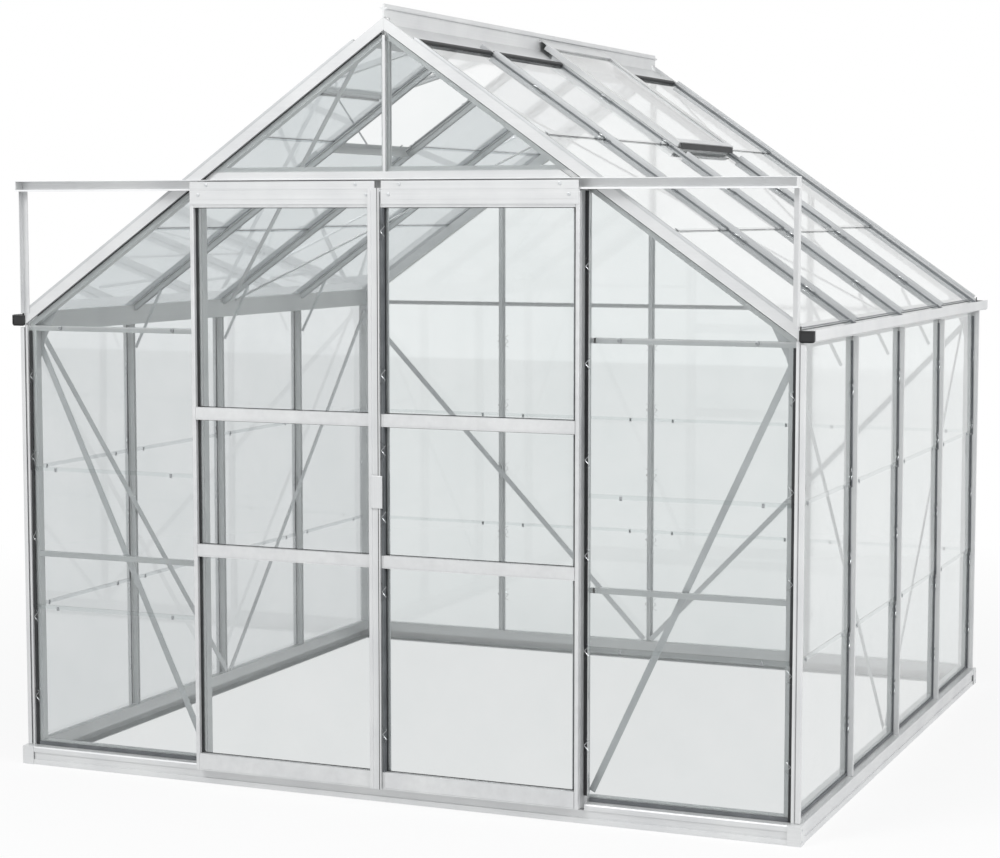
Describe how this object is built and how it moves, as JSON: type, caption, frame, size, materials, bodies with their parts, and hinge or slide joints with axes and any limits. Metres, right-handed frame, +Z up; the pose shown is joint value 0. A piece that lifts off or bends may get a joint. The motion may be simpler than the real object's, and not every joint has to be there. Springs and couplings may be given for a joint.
{
  "type": "glass greenhouse",
  "caption": "Apex-roofed aluminium and glass garden greenhouse with double sliding doors, gutters, opening roof vents and a flat base frame.",
  "frame": {"origin": "on the ground at the middle of the base frame", "axes": "+Z up; -Y is the front with the doors, so +Y points to the rear gable; +X is to the right for someone facing the doors"},
  "size_m": [2.618, 2.5048, 2.371],
  "materials": {
    "mill_aluminium": "satin",
    "steel_fittings": "satin",
    "black_plastic": "matte",
    "glass": "clear"
  },
  "bodies": {
    "house": {"base_front": "mill_aluminium", "base_rear": "mill_aluminium", "base_left": "mill_aluminium", "base_right": "mill_aluminium", "base_corner_plates": "mill_aluminium", "front_sills": "mill_aluminium", "rear_sill": "mill_aluminium", "side_sills": "mill_aluminium", "corner_posts": "mill_aluminium", "door_posts": "mill_aluminium", "side_wall_bars": "mill_aluminium", "rear_wall_bars": "mill_aluminium", "left_gutter": "mill_aluminium", "right_gutter": "mill_aluminium", "gutter_end_caps": "black_plastic", "front_rafters": "mill_aluminium", "rear_rafters": "mill_aluminium", "gable_mullion": "mill_aluminium", "door_head_beam": "mill_aluminium", "front_cross_bars": "mill_aluminium", "rear_cross_bars": "mill_aluminium", "front_half_ridge": "mill_aluminium", "rear_half_ridge": "mill_aluminium", "left_roof_bars": "mill_aluminium", "right_roof_bars": "mill_aluminium", "left_vent_frame": "mill_aluminium", "right_vent_frame": "mill_aluminium", "vent_glass": "glass", "vent_stays": "steel_fittings", "vent_sills": "mill_aluminium", "door_track": "mill_aluminium", "track_struts": "mill_aluminium", "left_wall_glass": "glass", "right_wall_glass": "glass", "rear_wall_glass": "glass", "front_wall_glass": "glass", "gable_glass": "glass", "left_roof_glass": "glass", "right_roof_glass": "glass", "wall_braces": "mill_aluminium", "roof_braces": "mill_aluminium", "knee_braces": "mill_aluminium", "gusset_plates": "mill_aluminium"},
    "left_door": {"left_door_frame": "mill_aluminium", "left_door_head": "mill_aluminium", "left_door_glass": "glass", "left_door_rollers": "black_plastic", "left_door_handle": "steel_fittings", "meeting_strip": "mill_aluminium"},
    "right_door": {"right_door_frame": "mill_aluminium", "right_door_head": "mill_aluminium", "right_door_glass": "glass", "right_door_rollers": "black_plastic"}
  },
  "joints": [
    {"name": "left_door_slide", "type": "slide", "parent": "house", "child": "left_door", "axis": [-1, 0, 0], "range_m": [0, 0.595]},
    {"name": "right_door_slide", "type": "slide", "parent": "house", "child": "right_door", "axis": [1, 0, 0], "range_m": [0, 0.595]}
  ]
}
